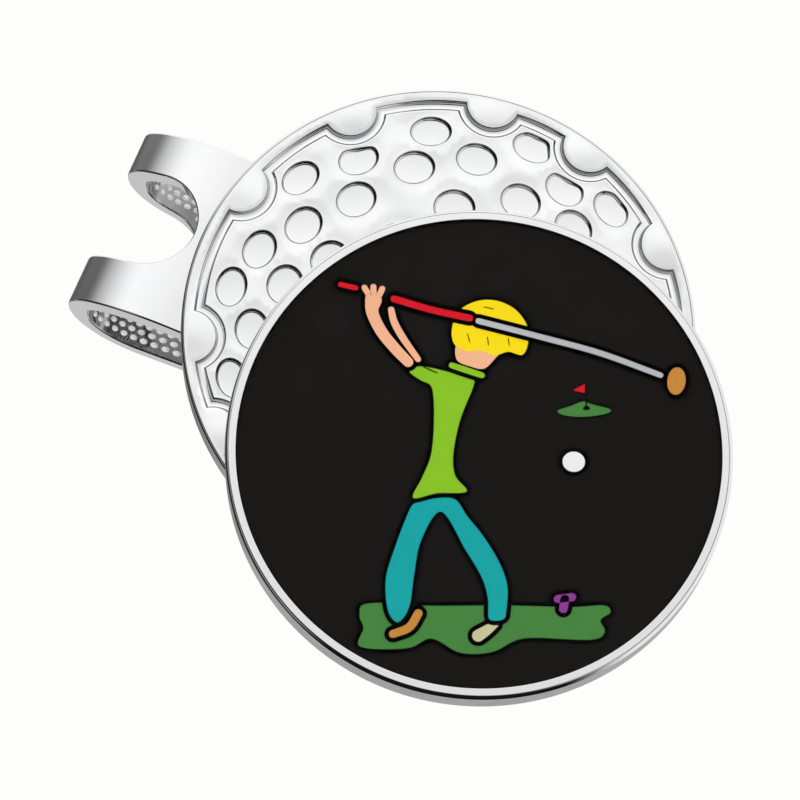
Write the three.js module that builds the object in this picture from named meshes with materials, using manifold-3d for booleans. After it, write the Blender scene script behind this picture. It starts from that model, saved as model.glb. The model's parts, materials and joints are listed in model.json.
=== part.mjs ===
// A golf ball marker on its cap clip, in millimetres.
//
// The round clip plate stands upright and faces -Y. +X is to the right, +Z is up, and the spring clip is
// behind the plate, towards +Y. The origin is on the plate's axis, on the back face of the clip's leg, where
// the brim of a cap lies.
//
// Everything is drawn lying down first, with the face towards +Z, and one group stands it up at the end.
// In that lying frame the plate's rim is at z = 0, the marker is above it and the spring clip below it.

import * as THREE from "three";
import { mergeVertices } from "three/addons/utils/BufferGeometryUtils.js";
import Module from "manifold-3d";

const wasm = await Module();
wasm.setup();

// Clip plate
const PLATE_RADIUS = 13.1;
const PLATE_THICKNESS = 1.7;
const PLATE_FRONT_CHAMFER = 0.2;
const PLATE_BACK_CHAMFER = 0.15;
const FIELD_RADIUS = 12.4; // inner edge of the flat rim
const GROOVE_WIDTH = 0.4;
const GROOVE_DEPTH = 0.35;
const FIELD_DROP = 0.06; // the raised field stays just below the rim
const SCALLOP_CENTRE_RADIUS = 12.7;
const SCALLOP_RADIUS = 1.45;
const SCALLOP_ANGLES = [22, 52, 77, 111, 143, 182, 206, 232, 262, 291, 323, 352];

// Dimples of a golf ball seen from outside: round, and narrower towards the edge of the ball
const BALL_RADIUS = 16;
const DIMPLE_RADIUS = 1.07;
const DIMPLE_DEPTH = 0.4;
const DIMPLE_LAND = 0.25; // what stays between a dimple and the edge of the field
const DIMPLE_SIDES = 14;
const DIMPLE_TRIM = 0.98; // step by which a dimple is drawn in where it lacks room
const DIMPLE_RINGS = [
  { radius: 11.1, angles: [37, 64] },
  { radius: 10.8, angles: [92, 131, 168, 194, 217, 244, 272, 311] },
  { radius: 10.1, angles: [50, 114, 155, 230, 294, 335] },
  { radius: 9.5, angles: [78, 180, 258, 358] },
  { radius: 8.9, angles: [39, 98, 141, 219, 278, 321] },
  { radius: 8.2, angles: [59, 121, 163, 201, 239, 301, 343, 21] },
  { radius: 6.7, angles: [83, 146, 184, 263, 326, 4] },
  { radius: 5.2, angles: [114, 166, 212, 294, 346, 32] },
];

// Magnet and its pocket in the middle of the plate
const MAGNET_RADIUS = 3.5;
const MAGNET_TOP = -0.1;
const MAGNET_THICKNESS = 0.92;
const MAGNET_CHAMFER = 0.12;
const POCKET_RADIUS = 3.6;
const POCKET_DEPTH = 1.2;
const GLUE_RADIUS = 3.3;
const GLUE_THICKNESS = 0.1;

// Spring clip, a strip that runs from behind the plate, out, round a loop and back
const CLIP_ANGLE = 157.5; // direction of the loop from the plate's centre
const CLIP_OFFSET = -0.24; // the strip's middle line passes this far beside the plate's centre
const STRIP_WIDTH = 10.05;
const LEG_THICKNESS = 1.2;
const TONGUE_THICKNESS = 0.9;
const LEG_INNER_END = -3; // all of these are distances from the plate's centre along the strip
const LEG_BEND_START = 13;
const LOOP_APEX = 18.12;
const TONGUE_BEND_END = 14.7;
const TONGUE_GRIP_END = -4;
const TONGUE_TIP = -7.5;
const LOOP_APEX_DEPTH = 5.1; // and these are depths behind the plate's rim plane
const TONGUE_BEND_DEPTH = 8.2;
const TONGUE_SLOPE = 6.9; // degrees, closing towards the tip
const TIP_FLARE = 14; // degrees, opening again at the tip
const TIP_TURN = 2; // how far past the grip the tongue keeps its slope before it turns
const LOOP_SPLIT = 0.3; // gap between the two halves of the strip
const SLOT_RADIUS = 2.5;
const SLOT_CENTRE = 16.2;
const SLOT_OFFSET = -0.17; // the upper prong is a little narrower than the lower one
const CORNER_RADIUS = 1.6;

// How far the bends of the strip run straight on before they turn
const LEG_BEND_REACH = 2.6;
const LOOP_FRONT_REACH = 1.8;
const LOOP_REAR_REACH = 2;
const TONGUE_BEND_REACH = 1.9;

// Rivets
const RIVET_PLACES = [10, 5.4];
const RIVET_HEAD_RADIUS = 1.35;
const RIVET_HEAD_HEIGHT = 0.45;
const COUNTERBORE_DEPTH = 0.5;
const RIVET_SHANK_RADIUS = 0.75;
const RIVET_CLEARANCE = 0.1;
const RIVET_HOLE_DEPTH = 0.9;

// Marker, shown pushed off centre from the magnet
const MARKER_CENTRE = new THREE.Vector2(1.92, -6.8);
const COIN_RADIUS = 12.7;
const COIN_THICKNESS = 1.8;
const COIN_EDGE_RADIUS = 0.22;
const COIN_BACK_CHAMFER = 0.15;
const COIN_LIFT = 0.05; // air between the coin and the plate's rim
const RECESS_RADIUS = 12.15;
const RECESS_DEPTH = 0.54;
const PRINT_RADIUS = 12.11;
const PRINT_THICKNESS = 0.28;
const RESIN_THICKNESS = 0.18;

const SEAT_GAP = 0.05; // between pieces that lie on each other
const LEG_BACK = PLATE_THICKNESS + SEAT_GAP + LEG_THICKNESS; // depth of the face that the brim lies on
const FILM_GAP = 0.03; // between the layers in the coin
const ROUND_SIDES = 72;
const SMALL_SIDES = 36;
const CUT_MARGIN = 1; // how far a cutting tool runs past what it cuts
const STRIP_BOTTOM = -TONGUE_BEND_DEPTH - 3; // below every point of the strip
const WELD_DISTANCE = 1e-5;

// Steps in each curve
const BEND_STEPS = 12;
const SCALLOP_STEPS = 8;
const RIM_STEPS = 4;
const SLOT_STEPS = 16;
const CORNER_STEPS = 6;
const EDGE_STEPS = 3;

function radians(degrees) {
  return THREE.MathUtils.degToRad(degrees);
}

function polar(radius, degrees) {
  const angle = radians(degrees);
  return new THREE.Vector2(radius * Math.cos(angle), radius * Math.sin(angle));
}

// Points of an arc about (x, y), from one angle to another in degrees.
function arc(x, y, radius, from, to, steps) {
  const points = [];
  for (let i = 0; i <= steps; i += 1) {
    const angle = from + ((to - from) * i) / steps;
    points.push(polar(radius, angle).add(new THREE.Vector2(x, y)));
  }
  return points;
}

// A closed geometry as a solid that can be joined and cut.
function toSolid(geometry) {
  const plain = geometry.clone();
  plain.deleteAttribute("normal");
  plain.deleteAttribute("uv");
  const merged = mergeVertices(plain, WELD_DISTANCE);
  const corners = merged.index.array;
  const kept = [];
  for (let i = 0; i < corners.length; i += 3) {
    const [a, b, c] = [corners[i], corners[i + 1], corners[i + 2]];
    if (a !== b && b !== c && c !== a) {
      kept.push(a, b, c);
    }
  }
  const mesh = new wasm.Mesh({
    numProp: 3,
    vertProperties: new Float32Array(merged.attributes.position.array),
    triVerts: new Uint32Array(kept),
  });
  return new wasm.Manifold(mesh);
}

function toGeometry(solid) {
  const mesh = solid.getMesh();
  const geometry = new THREE.BufferGeometry();
  geometry.setAttribute("position", new THREE.BufferAttribute(mesh.vertProperties, 3));
  geometry.setIndex(new THREE.BufferAttribute(mesh.triVerts, 1));
  return geometry;
}

// An outline raised along z from low to high.
function prism(points, low, high) {
  const shape = new THREE.Shape(points);
  const geometry = new THREE.ExtrudeGeometry(shape, { depth: high - low, bevelEnabled: false });
  geometry.translate(0, 0, low);
  return toSolid(geometry);
}

// A profile of (radius, z) points turned about the z axis. It starts and ends on the axis, going up.
function turned(points, sides) {
  const geometry = new THREE.LatheGeometry(points, sides);
  geometry.rotateX(Math.PI / 2);
  return toSolid(geometry);
}

function disc(radius, low, high, sides) {
  return turned(
    [
      new THREE.Vector2(0, low),
      new THREE.Vector2(radius, low),
      new THREE.Vector2(radius, high),
      new THREE.Vector2(0, high),
    ],
    sides,
  );
}

// Outline of the dimpled field, moved inwards by inset: a circle with half-round bites.
function fieldOutline(inset) {
  const rim = FIELD_RADIUS - inset;
  const bite = SCALLOP_RADIUS + inset;
  const reach = SCALLOP_CENTRE_RADIUS;
  const cosine = (rim * rim + reach * reach - bite * bite) / (2 * rim * reach);
  const halfAngle = THREE.MathUtils.radToDeg(Math.acos(cosine));
  const points = [];
  SCALLOP_ANGLES.forEach((angle, i) => {
    const centre = polar(reach, angle);
    const corner = polar(rim, angle - halfAngle).sub(centre);
    const cornerAngle = THREE.MathUtils.radToDeg(Math.atan2(corner.y, corner.x));
    const inwards = angle + 180;
    const spread = THREE.MathUtils.euclideanModulo(cornerAngle - inwards, 360);
    points.push(...arc(centre.x, centre.y, bite, inwards + spread, inwards - spread, SCALLOP_STEPS));
    const wrap = i === SCALLOP_ANGLES.length - 1 ? 360 : 0;
    const next = SCALLOP_ANGLES[(i + 1) % SCALLOP_ANGLES.length] + wrap;
    const flat = arc(0, 0, rim, angle + halfAngle, next - halfAngle, RIM_STEPS);
    points.push(...flat.slice(1, -1));
  });
  return points;
}

// Straight lines that a dimple may not cross: across the way to the rim, and across the way to each scallop.
function limitsAround(centre) {
  const margin = GROOVE_WIDTH + DIMPLE_LAND;
  const limits = [{ way: centre.clone().normalize(), reach: FIELD_RADIUS - margin }];
  for (const angle of SCALLOP_ANGLES) {
    const scallop = polar(SCALLOP_CENTRE_RADIUS, angle);
    const way = scallop.clone().sub(centre).normalize();
    limits.push({ way, reach: scallop.dot(way) - SCALLOP_RADIUS - margin });
  }
  return limits;
}

// Outline of one dimple: an ellipse that is cut off straight where it would come too near the field's edge.
function dimpleOutline(radius, angle) {
  const centre = polar(radius, angle);
  const narrow = DIMPLE_RADIUS * Math.sqrt(1 - (radius / BALL_RADIUS) ** 2);
  const limits = limitsAround(centre);
  const points = [];
  for (let i = 0; i < DIMPLE_SIDES; i += 1) {
    const turn = (360 * i) / DIMPLE_SIDES;
    const along = narrow * Math.cos(radians(turn));
    const across = DIMPLE_RADIUS * Math.sin(radians(turn));
    const step = new THREE.Vector2(along, across).rotateAround(new THREE.Vector2(), radians(angle));
    const point = centre.clone().add(step);
    while (limits.some(({ way, reach }) => point.dot(way) > reach)) {
      step.multiplyScalar(DIMPLE_TRIM);
      point.copy(centre).add(step);
    }
    points.push(point);
  }
  return points;
}

function plateBlank() {
  const back = -PLATE_THICKNESS;
  return turned(
    [
      new THREE.Vector2(0, back),
      new THREE.Vector2(PLATE_RADIUS - PLATE_BACK_CHAMFER, back),
      new THREE.Vector2(PLATE_RADIUS, back + PLATE_BACK_CHAMFER),
      new THREE.Vector2(PLATE_RADIUS, -PLATE_FRONT_CHAMFER),
      new THREE.Vector2(PLATE_RADIUS - PLATE_FRONT_CHAMFER, 0),
      new THREE.Vector2(0, 0),
    ],
    ROUND_SIDES,
  );
}

// A place on the middle line of the spring clip, at a distance along it.
function onClip(along) {
  return polar(along, CLIP_ANGLE).add(polar(CLIP_OFFSET, CLIP_ANGLE + 90));
}

// The cast plate: a flat scalloped rim, a groove inside it and a raised field of dimples.
function clipDisc() {
  let plate = plateBlank().subtract(prism(fieldOutline(0), -GROOVE_DEPTH, CUT_MARGIN));
  plate = plate.add(prism(fieldOutline(GROOVE_WIDTH), -GROOVE_DEPTH - CUT_MARGIN / 2, -FIELD_DROP));
  for (const ring of DIMPLE_RINGS) {
    for (const angle of ring.angles) {
      const outline = dimpleOutline(ring.radius, angle);
      plate = plate.subtract(prism(outline, -FIELD_DROP - DIMPLE_DEPTH, CUT_MARGIN));
    }
  }
  plate = plate.subtract(disc(POCKET_RADIUS, -POCKET_DEPTH, CUT_MARGIN, SMALL_SIDES));
  for (const place of RIVET_PLACES) {
    const centre = onClip(place);
    const hole = disc(
      RIVET_SHANK_RADIUS + RIVET_CLEARANCE,
      -PLATE_THICKNESS - CUT_MARGIN,
      RIVET_HOLE_DEPTH - PLATE_THICKNESS,
      SMALL_SIDES,
    );
    plate = plate.subtract(hole.translate([centre.x, centre.y, 0]));
  }
  return plate;
}

function magnet() {
  const bottom = MAGNET_TOP - MAGNET_THICKNESS;
  return turned(
    [
      new THREE.Vector2(0, bottom),
      new THREE.Vector2(MAGNET_RADIUS - MAGNET_CHAMFER, bottom),
      new THREE.Vector2(MAGNET_RADIUS, bottom + MAGNET_CHAMFER),
      new THREE.Vector2(MAGNET_RADIUS, MAGNET_TOP - MAGNET_CHAMFER),
      new THREE.Vector2(MAGNET_RADIUS - MAGNET_CHAMFER, MAGNET_TOP),
      new THREE.Vector2(0, MAGNET_TOP),
    ],
    SMALL_SIDES,
  );
}

function magnetAdhesive() {
  const bottom = FILM_GAP - POCKET_DEPTH;
  return disc(GLUE_RADIUS, bottom, bottom + GLUE_THICKNESS, SMALL_SIDES);
}

// Middle line of the leg and the front half of the loop, as (distance along the strip, depth).
function legLine() {
  const depth = LEG_BACK - LEG_THICKNESS / 2;
  const line = new THREE.CurvePath();
  const start = new THREE.Vector2(LEG_INNER_END, depth);
  const bend = new THREE.Vector2(LEG_BEND_START, depth);
  const apex = new THREE.Vector2(LOOP_APEX, LOOP_APEX_DEPTH - LOOP_SPLIT / 2);
  line.add(new THREE.LineCurve(start, bend));
  line.add(
    new THREE.CubicBezierCurve(
      bend,
      new THREE.Vector2(LEG_BEND_START + LEG_BEND_REACH, depth),
      new THREE.Vector2(LOOP_APEX, LOOP_APEX_DEPTH - LOOP_FRONT_REACH),
      apex,
    ),
  );
  return line;
}

// Middle line of the rear half of the loop and the tongue, with its tip turned outwards.
function tongueLine() {
  const slope = Math.tan(radians(TONGUE_SLOPE));
  const run = new THREE.Vector2(1, slope); // along the tongue, towards the loop
  const gripDepth = TONGUE_BEND_DEPTH - slope * (TONGUE_BEND_END - TONGUE_GRIP_END);
  const line = new THREE.CurvePath();
  const apex = new THREE.Vector2(LOOP_APEX, LOOP_APEX_DEPTH + LOOP_SPLIT / 2);
  const bend = new THREE.Vector2(TONGUE_BEND_END, TONGUE_BEND_DEPTH);
  const grip = new THREE.Vector2(TONGUE_GRIP_END, gripDepth);
  const flare = Math.tan(radians(TIP_FLARE)) * (TONGUE_GRIP_END - TONGUE_TIP);
  const tip = new THREE.Vector2(TONGUE_TIP, gripDepth + flare);
  line.add(
    new THREE.CubicBezierCurve(
      apex,
      new THREE.Vector2(LOOP_APEX, LOOP_APEX_DEPTH + LOOP_REAR_REACH),
      new THREE.Vector2(TONGUE_BEND_END, TONGUE_BEND_DEPTH).addScaledVector(run, TONGUE_BEND_REACH),
      bend,
    ),
  );
  line.add(new THREE.LineCurve(bend, grip));
  const turn = new THREE.Vector2(TONGUE_GRIP_END - TIP_TURN, gripDepth - TIP_TURN * slope);
  line.add(new THREE.QuadraticBezierCurve(grip, turn, tip));
  return line;
}

// Points along a middle line, each with the direction to its left.
function stations(line) {
  const found = [];
  for (const curve of line.curves) {
    const steps = curve.isLineCurve ? 1 : BEND_STEPS;
    for (let i = found.length ? 1 : 0; i <= steps; i += 1) {
      const tangent = curve.getTangent(i / steps);
      found.push({ point: curve.getPoint(i / steps), left: new THREE.Vector2(-tangent.y, tangent.x) });
    }
  }
  return found;
}

// Half of the strip: a band along a middle line, with a thickness for each point of it.
function stripHalf(line, thicknessAt) {
  const path = stations(line);
  const side = (sign) =>
    path.map(({ point, left }) => {
      const half = (sign * thicknessAt(point)) / 2;
      return new THREE.Vector2(point.x + left.x * half, -point.y - left.y * half);
    });
  const outline = [...side(1), ...side(-1).reverse()];
  const geometry = new THREE.ExtrudeGeometry(new THREE.Shape(outline), {
    depth: STRIP_WIDTH,
    bevelEnabled: false,
  });
  geometry.translate(0, 0, -STRIP_WIDTH / 2);
  geometry.rotateX(Math.PI / 2);
  return toSolid(geometry);
}

// The strip gets thinner with depth, from the leg to the tongue.
function loopThickness(point) {
  const legDepth = LEG_BACK - LEG_THICKNESS / 2;
  const share = THREE.MathUtils.clamp((point.y - legDepth) / (TONGUE_BEND_DEPTH - legDepth), 0, 1);
  return THREE.MathUtils.lerp(LEG_THICKNESS, TONGUE_THICKNESS, share);
}

function tongueThickness(point) {
  return point.x <= TONGUE_BEND_END ? TONGUE_THICKNESS : loopThickness(point);
}

// The U-shaped slot that parts the strip into two prongs round the loop.
function forkSlot() {
  const end = LOOP_APEX + LEG_THICKNESS + CUT_MARGIN;
  const points = arc(SLOT_CENTRE, SLOT_OFFSET, SLOT_RADIUS, 90, 270, SLOT_STEPS);
  points.push(new THREE.Vector2(end, SLOT_OFFSET - SLOT_RADIUS));
  points.push(new THREE.Vector2(end, SLOT_OFFSET + SLOT_RADIUS));
  return prism(points, STRIP_BOTTOM, CUT_MARGIN);
}

// Plan of the strip with its inner end rounded off.
function roundedPlan(end, radius) {
  const half = STRIP_WIDTH / 2;
  const far = LOOP_APEX + LEG_THICKNESS + CUT_MARGIN;
  return [
    new THREE.Vector2(far, -half),
    new THREE.Vector2(far, half),
    ...arc(end + radius, half - radius, radius, 90, 180, CORNER_STEPS),
    ...arc(end + radius, radius - half, radius, 180, 270, CORNER_STEPS),
  ];
}

function springClipLeg() {
  const plan = prism(roundedPlan(LEG_INNER_END, CORNER_RADIUS), STRIP_BOTTOM, CUT_MARGIN);
  const hole = disc(RIVET_SHANK_RADIUS + RIVET_CLEARANCE, -LEG_BACK - CUT_MARGIN, CUT_MARGIN, SMALL_SIDES);
  const headRadius = RIVET_HEAD_RADIUS + RIVET_CLEARANCE;
  const seat = disc(headRadius, -LEG_BACK - CUT_MARGIN, COUNTERBORE_DEPTH - LEG_BACK, SMALL_SIDES);
  let leg = stripHalf(legLine(), loopThickness).intersect(plan).subtract(forkSlot());
  for (const place of RIVET_PLACES) {
    leg = leg.subtract(hole.add(seat).translate([place, 0, 0]));
  }
  return leg;
}

function springClipTongue() {
  const plan = prism(roundedPlan(TONGUE_TIP, CORNER_RADIUS), STRIP_BOTTOM, CUT_MARGIN);
  return stripHalf(tongueLine(), tongueThickness).intersect(plan).subtract(forkSlot());
}

// A flat head sunk into the leg, and a shank that ends in the plate.
function clipRivet() {
  const head = COUNTERBORE_DEPTH - FILM_GAP - LEG_BACK;
  const face = head - RIVET_HEAD_HEIGHT;
  const tip = RIVET_HOLE_DEPTH - SEAT_GAP - PLATE_THICKNESS;
  return turned(
    [
      new THREE.Vector2(0, face),
      new THREE.Vector2(RIVET_HEAD_RADIUS - RIVET_CLEARANCE, face),
      new THREE.Vector2(RIVET_HEAD_RADIUS, face + RIVET_CLEARANCE),
      new THREE.Vector2(RIVET_HEAD_RADIUS, head),
      new THREE.Vector2(RIVET_SHANK_RADIUS, head),
      new THREE.Vector2(RIVET_SHANK_RADIUS, tip),
      new THREE.Vector2(0, tip),
    ],
    SMALL_SIDES,
  );
}

// The coin, with a rounded front edge and a shallow round recess for the print.
function markerCoin() {
  const back = COIN_LIFT;
  const front = back + COIN_THICKNESS;
  const floor = front - RECESS_DEPTH;
  const edge = COIN_RADIUS - COIN_EDGE_RADIUS;
  return turned(
    [
      new THREE.Vector2(0, back),
      new THREE.Vector2(COIN_RADIUS - COIN_BACK_CHAMFER, back),
      new THREE.Vector2(COIN_RADIUS, back + COIN_BACK_CHAMFER),
      ...arc(edge, front - COIN_EDGE_RADIUS, COIN_EDGE_RADIUS, 0, 90, EDGE_STEPS),
      new THREE.Vector2(RECESS_RADIUS, front),
      new THREE.Vector2(RECESS_RADIUS, floor),
      new THREE.Vector2(0, floor),
    ],
    ROUND_SIDES,
  );
}

function printInsert() {
  const low = COIN_LIFT + COIN_THICKNESS - RECESS_DEPTH + FILM_GAP;
  return disc(PRINT_RADIUS, low, low + PRINT_THICKNESS, ROUND_SIDES);
}

function clearResin() {
  const low = COIN_LIFT + COIN_THICKNESS - RECESS_DEPTH + FILM_GAP + PRINT_THICKNESS + FILM_GAP;
  return disc(PRINT_RADIUS, low, low + RESIN_THICKNESS, ROUND_SIDES);
}

function platedZinc() {
  return new THREE.MeshStandardMaterial({ color: 0xe2e4e6, roughness: 0.12, metalness: 1 });
}

function platedSpringSteel() {
  return new THREE.MeshStandardMaterial({ color: 0xd9dbdd, roughness: 0.14, metalness: 1 });
}

function platedCoinSteel() {
  return new THREE.MeshStandardMaterial({ color: 0xdedfe0, roughness: 0.12, metalness: 1 });
}

function rivetSteel() {
  return new THREE.MeshStandardMaterial({ color: 0xc4c6c8, roughness: 0.25, metalness: 1 });
}

function magnetNickel() {
  return new THREE.MeshStandardMaterial({ color: 0xb4b6ba, roughness: 0.3, metalness: 1 });
}

function adhesive() {
  return new THREE.MeshStandardMaterial({ color: 0xd8d2bc, roughness: 0.45, metalness: 0 });
}

function blackPrint() {
  return new THREE.MeshStandardMaterial({ color: 0x1a1817, roughness: 0.35, metalness: 0 });
}

function clearEpoxy() {
  return new THREE.MeshStandardMaterial({
    color: 0xffffff,
    roughness: 0.05,
    metalness: 0,
    transparent: true,
    opacity: 0.15,
  });
}

function piece(name, solid, material) {
  const mesh = new THREE.Mesh(toGeometry(solid), material);
  mesh.name = name;
  return mesh;
}

function plateGroup() {
  const group = new THREE.Group();
  group.add(piece("clip_disc", clipDisc(), platedZinc()));
  group.add(piece("magnet", magnet(), magnetNickel()));
  group.add(piece("magnet_adhesive", magnetAdhesive(), adhesive()));
  return group;
}

function springClipGroup() {
  const group = new THREE.Group();
  group.add(piece("spring_clip_leg", springClipLeg(), platedSpringSteel()));
  group.add(piece("spring_clip_tongue", springClipTongue(), platedSpringSteel()));
  ["clip_rivet_outer", "clip_rivet_inner"].forEach((name, i) => {
    const rivet = piece(name, clipRivet(), rivetSteel());
    rivet.position.x = RIVET_PLACES[i];
    group.add(rivet);
  });
  const start = onClip(0);
  group.position.set(start.x, start.y, 0);
  group.rotation.z = radians(CLIP_ANGLE);
  return group;
}

function markerGroup() {
  const group = new THREE.Group();
  group.add(piece("marker_coin", markerCoin(), platedCoinSteel()));
  group.add(piece("print_insert", printInsert(), blackPrint()));
  group.add(piece("clear_resin", clearResin(), clearEpoxy()));
  group.position.set(MARKER_CENTRE.x, MARKER_CENTRE.y, 0);
  return group;
}

const ballMarker = new THREE.Group();
ballMarker.add(plateGroup(), springClipGroup(), markerGroup());
ballMarker.rotation.x = Math.PI / 2;
ballMarker.position.y = -LEG_BACK;

export default ballMarker;
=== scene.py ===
"""Looks of a golf ball marker on its cap clip, in Blender.

Shapes are drawn in millimetres with the part lying on its back: x to the right, y to the top of the
picture, and z towards the viewer, with the plate's rim at z = 0. place() stands them up in the row frame.
"""

import json
import math

import bmesh
import bpy
import numpy as np
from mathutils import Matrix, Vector
from mathutils.geometry import delaunay_2d_cdt


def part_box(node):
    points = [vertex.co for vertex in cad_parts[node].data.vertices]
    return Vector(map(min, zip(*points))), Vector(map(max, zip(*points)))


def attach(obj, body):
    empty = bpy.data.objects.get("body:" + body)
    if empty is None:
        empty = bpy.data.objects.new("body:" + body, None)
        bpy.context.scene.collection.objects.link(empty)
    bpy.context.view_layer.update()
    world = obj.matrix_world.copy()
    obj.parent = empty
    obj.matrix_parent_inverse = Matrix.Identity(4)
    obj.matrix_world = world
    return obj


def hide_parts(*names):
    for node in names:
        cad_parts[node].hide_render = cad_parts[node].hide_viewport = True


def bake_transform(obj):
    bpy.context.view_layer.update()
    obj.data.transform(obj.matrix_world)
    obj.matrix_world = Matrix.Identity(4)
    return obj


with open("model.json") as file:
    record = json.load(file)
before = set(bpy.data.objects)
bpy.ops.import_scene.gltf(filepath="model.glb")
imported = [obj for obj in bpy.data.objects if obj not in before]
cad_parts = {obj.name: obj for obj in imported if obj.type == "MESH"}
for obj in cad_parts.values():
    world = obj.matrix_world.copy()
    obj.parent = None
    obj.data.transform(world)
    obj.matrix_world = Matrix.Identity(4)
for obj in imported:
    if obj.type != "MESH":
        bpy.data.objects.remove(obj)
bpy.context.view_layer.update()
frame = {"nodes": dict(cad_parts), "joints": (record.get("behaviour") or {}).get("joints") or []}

MM = 0.001

# Places and main sizes, read from the frame
PLATE_LOW, PLATE_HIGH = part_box("clip_disc")
COIN_LOW, COIN_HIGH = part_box("marker_coin")
PRINT_LOW, PRINT_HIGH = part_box("print_insert")
RESIN_LOW, RESIN_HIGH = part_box("clear_resin")
LOOP_JOINT = next(joint for joint in frame["joints"] if joint["name"] == "tongue_flex")
LOOP_X, LOOP_Y, LOOP_Z = [value / MM for value in LOOP_JOINT["pos_m"]]
LOOP_AXIS = LOOP_JOINT["axis"]

RIM_Y = PLATE_LOW.y / MM
PLATE_RADIUS = (PLATE_HIGH.x - PLATE_LOW.x) / 2 / MM
PLATE_THICKNESS = (PLATE_HIGH.y - PLATE_LOW.y) / MM
COIN_RADIUS = (COIN_HIGH.x - COIN_LOW.x) / 2 / MM
COIN_CENTRE = ((COIN_HIGH.x + COIN_LOW.x) / 2 / MM, (COIN_HIGH.z + COIN_LOW.z) / 2 / MM)
PRINT_RADIUS = (PRINT_HIGH.x - PRINT_LOW.x) / 2 / MM
LOOP_DEPTH = LOOP_Y - RIM_Y
CLIP_ANGLE = math.atan2(LOOP_AXIS[0], -LOOP_AXIS[2])
CLIP_COS, CLIP_SIN = math.cos(CLIP_ANGLE), math.sin(CLIP_ANGLE)
LOOP_APEX = LOOP_X * CLIP_COS + LOOP_Z * CLIP_SIN
CLIP_OFFSET = LOOP_Z * CLIP_COS - LOOP_X * CLIP_SIN  # the strip passes this far beside the plate's centre
LEG_BACK = -RIM_Y


def lying_z(row_y):
    """Height over the rim plane of the lying part, for a y in the row frame."""
    return RIM_Y - row_y / MM


def place(points):
    """Lying millimetres to metres in the row frame."""
    points = np.asarray(points, float)
    return np.column_stack([points[:, 0], RIM_Y - points[:, 2], points[:, 1]]) * MM


def turn(vectors):
    """Directions of the lying part in the row frame."""
    vectors = np.asarray(vectors, float)
    return np.column_stack([vectors[:, 0], -vectors[:, 2], vectors[:, 1]])


def unit(vectors):
    vectors = np.asarray(vectors, float)
    length = np.linalg.norm(vectors, axis=-1, keepdims=True)
    return vectors / np.maximum(length, 1e-12)


def polar(radius, degrees):
    angle = np.radians(degrees)
    return np.stack([radius * np.cos(angle), radius * np.sin(angle)], axis=-1)


def ways_along(line):
    """Directions at the points of a line, each between those of the steps before and after it."""
    ways = unit(np.diff(line, axis=0))
    return unit(np.vstack([ways[:1], ways[:-1] + ways[1:], ways[-1:]]))


def circle(count):
    """Points at equal angles on a circle of radius 1."""
    return polar(1.0, 360 * np.arange(count) / count)


def rotated(points, degrees):
    cos, sin = math.cos(math.radians(degrees)), math.sin(math.radians(degrees))
    return points @ np.array([[cos, sin], [-sin, cos]])


def raised(points, height):
    """Flat points with one height for all, or with a height for each."""
    return np.column_stack([points, np.broadcast_to(height, len(points))])


def closed_edges(count, start=0):
    """The pairs of neighbours round a closed line."""
    return [(start + i, start + (i + 1) % count) for i in range(count)]


# ---------------------------------------------------------------------------------------------- meshes


MERGE_DISTANCE = 1e-7  # nearer than this, two points of a filled outline count as one
BATCH = 2000  # points that are tested at a time


class Shell:
    """A closed skin that is put together from loops of points. Each point has a normal and a painted shade,
    which darkens its colour.
    """

    def __init__(self):
        self.points = []
        self.normals = []
        self.shades = []
        self.faces = []

    def loop(self, points, normals, shade=0.0):
        """Adds points, with one shade for all or a shade for each, and returns their places in the list."""
        first = len(self.points)
        self.points.extend(map(tuple, points))
        self.normals.extend(map(tuple, normals))
        self.shades.extend(np.broadcast_to(shade, len(points)))
        return list(range(first, len(self.points)))

    def bridge(self, a, b):
        self.faces += [(a[i], a[j], b[j], b[i]) for i, j in closed_edges(len(a))]

    def fan(self, loop, point, normal):
        tip = self.loop([point], [normal])[0]
        self.faces += [(a, b, tip) for a, b in zip(loop, loop[1:] + loop[:1])]

    def fill(self, loops, extra=(), flats=None, facing=1):
        """Triangles between closed loops, which may lie in one another.

        extra holds more points between the loops. flats gives the places of points in the plane, where they
        aren't simply x and y.
        """
        indices = [index for loop in loops for index in loop] + list(extra)
        edges = []
        for loop in loops:
            edges += closed_edges(len(loop), len(edges))
        plane = np.array([flats[index] if flats else self.points[index][:2] for index in indices])
        found = delaunay_2d_cdt([Vector(p) for p in plane], edges, [], 0, MERGE_DISTANCE)
        out, triangles, sources = np.array([tuple(p) for p in found[0]]), found[2], found[3]
        centres = np.array([out[list(t)].mean(0) for t in triangles])
        kept = inside(centres, plane, edges)
        for triangle, keep in zip(triangles, kept):
            if keep and all(sources[corner] for corner in triangle):
                corners = [indices[sources[corner][0]] for corner in triangle]
                self.faces.append(tuple(corners if facing > 0 else reversed(corners)))

    def build(self, name, material, smooth=True):
        mesh = bpy.data.meshes.new(name)
        mesh.from_pydata([tuple(p) for p in place(self.points)], [], self.faces)
        shell = bmesh.new()
        shell.from_mesh(mesh)
        bmesh.ops.recalc_face_normals(shell, faces=shell.faces)
        shell.to_mesh(mesh)
        shell.free()
        mesh.polygons.foreach_set("use_smooth", [smooth] * len(mesh.polygons))
        shade = mesh.attributes.new("shade", "FLOAT", "POINT")
        shade.data.foreach_set("value", np.array(self.shades, np.float32))
        if smooth:
            mesh.normals_split_custom_set_from_vertices([tuple(n) for n in unit(turn(self.normals))])
        mesh.materials.append(material)
        return add_object(name, mesh)


def add_object(name, data):
    made = bpy.data.objects.new(name, data)
    bpy.context.scene.collection.objects.link(made)
    return made


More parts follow.
